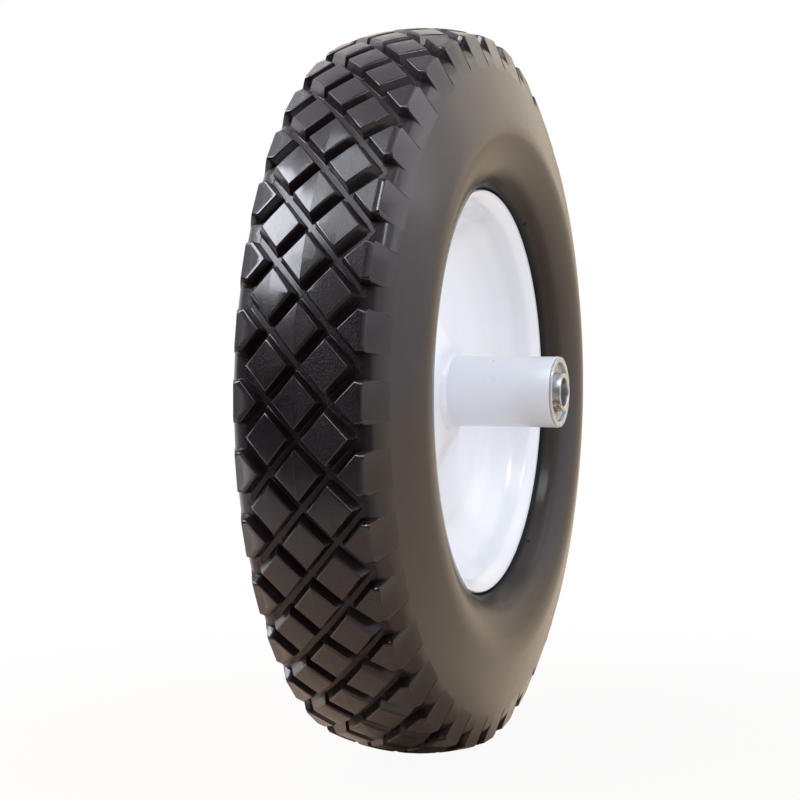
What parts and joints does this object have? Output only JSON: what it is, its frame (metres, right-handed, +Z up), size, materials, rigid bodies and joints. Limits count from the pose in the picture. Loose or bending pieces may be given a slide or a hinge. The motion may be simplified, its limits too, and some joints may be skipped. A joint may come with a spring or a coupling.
{
  "type": "wheelbarrow wheel",
  "caption": "Wheelbarrow wheel with a flat-free block-tread tyre, a white stamped steel rim and a long hub with flanged ball bearings.",
  "frame": {"origin": "middle of the axle line, at the wheel's mid-plane", "axes": "+Y along the axle to the left hub end, +Z up, +X across the wheel"},
  "size_m": [0.399, 0.1524, 0.399],
  "materials": {
    "moulded_polyurethane": "satin moulded polyurethane, slightly dusty",
    "white_enamel": "glossy white enamel over stamped steel",
    "zinc_plated_steel": "dull zinc plating with a little grease",
    "polished_steel": "polished bearing balls"
  },
  "bodies": {
    "axle_ring_left": {"bearing_inner_ring_left": "zinc_plated_steel"},
    "wheel": {"tyre": "moulded_polyurethane", "hub_tube": "white_enamel", "rim_half_left": "white_enamel", "weld_bead_left": "white_enamel", "bearing_outer_ring_left": "zinc_plated_steel", "bearing_shield_left": "zinc_plated_steel", "rim_half_right": "white_enamel", "weld_bead_right": "white_enamel", "bearing_outer_ring_right": "zinc_plated_steel", "bearing_shield_right": "zinc_plated_steel"},
    "axle_ring_right": {"bearing_inner_ring_right": "zinc_plated_steel"},
    "ball_set_left": {"ball_left_01": "polished_steel", "ball_left_02": "polished_steel", "ball_left_03": "polished_steel", "ball_left_04": "polished_steel", "ball_left_05": "polished_steel", "ball_left_06": "polished_steel", "ball_left_07": "polished_steel", "ball_left_08": "polished_steel", "ball_left_09": "polished_steel", "ball_left_10": "polished_steel", "ball_left_11": "polished_steel", "ball_left_12": "polished_steel"},
    "ball_set_right": {"ball_right_01": "polished_steel", "ball_right_02": "polished_steel", "ball_right_03": "polished_steel", "ball_right_04": "polished_steel", "ball_right_05": "polished_steel", "ball_right_06": "polished_steel", "ball_right_07": "polished_steel", "ball_right_08": "polished_steel", "ball_right_09": "polished_steel", "ball_right_10": "polished_steel", "ball_right_11": "polished_steel", "ball_right_12": "polished_steel"}
  },
  "joints": [
    {"name": "wheel_spin", "type": "hinge", "parent": "axle_ring_left", "child": "wheel", "pos_m": [0, 0, 0], "axis": [0, 1, 0], "continuous": true},
    {"name": "right_ring_spin", "type": "hinge", "parent": "wheel", "child": "axle_ring_right", "pos_m": [0, 0, 0], "axis": [0, 1, 0], "continuous": true},
    {"name": "left_balls_spin", "type": "hinge", "parent": "wheel", "child": "ball_set_left", "pos_m": [0, 0, 0], "axis": [0, 1, 0], "continuous": true},
    {"name": "right_balls_spin", "type": "hinge", "parent": "wheel", "child": "ball_set_right", "pos_m": [0, 0, 0], "axis": [0, 1, 0], "continuous": true}
  ],
  "couplings": [
    {"joint": "right_ring_spin", "follows": "wheel_spin", "ratio": -1},
    {"joint": "left_balls_spin", "follows": "wheel_spin", "ratio": -0.376},
    {"joint": "right_balls_spin", "follows": "wheel_spin", "ratio": -0.376}
  ]
}
